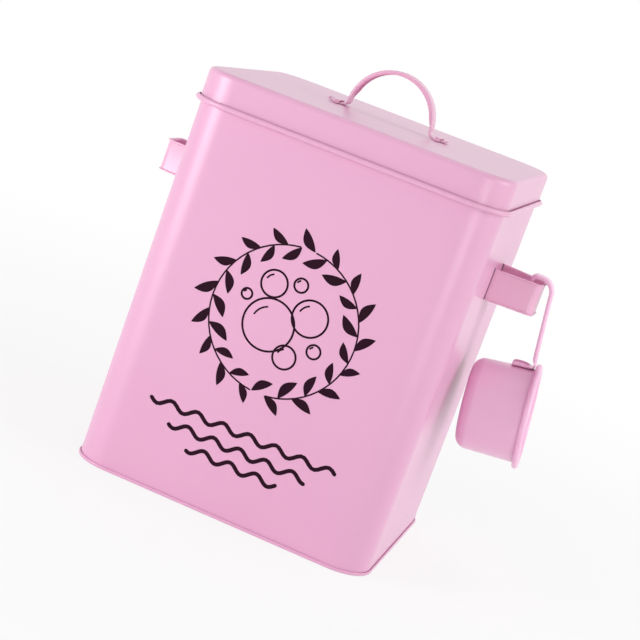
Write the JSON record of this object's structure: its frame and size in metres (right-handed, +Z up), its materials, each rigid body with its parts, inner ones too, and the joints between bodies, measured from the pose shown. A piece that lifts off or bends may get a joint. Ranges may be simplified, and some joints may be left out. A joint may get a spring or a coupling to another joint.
{
  "type": "laundry powder tin with lid and scoop",
  "caption": "Rounded-square painted sheet-steel storage tin with a lift-off lid, strap handles and a round scoop hung on a side handle.",
  "frame": {"origin": "centre of the tin's flat underside", "axes": "+Z up, the printed front faces -Y, the scoop hangs at +X"},
  "size_m": [0.2898, 0.194, 0.292],
  "materials": {
    "shell_paint": "satin pink enamel",
    "lid_paint": "satin pink enamel",
    "handle_paint": "satin pink enamel",
    "scoop_paint": "satin pink enamel"
  },
  "bodies": {
    "tin": {"body_shell": "shell_paint", "base_pan": "shell_paint", "side_handle_right": "handle_paint", "side_handle_left": "handle_paint", "scoop_cup": "scoop_paint", "scoop_arm": "scoop_paint"},
    "lid": {"lid_shell": "lid_paint", "lid_handle": "handle_paint", "lid_staple_left": "handle_paint", "lid_staple_right": "handle_paint"}
  },
  "joints": [
    {"name": "lid_lift", "type": "slide", "parent": "tin", "child": "lid", "axis": [0, 0, 1], "range_m": [0, 0.05]}
  ]
}
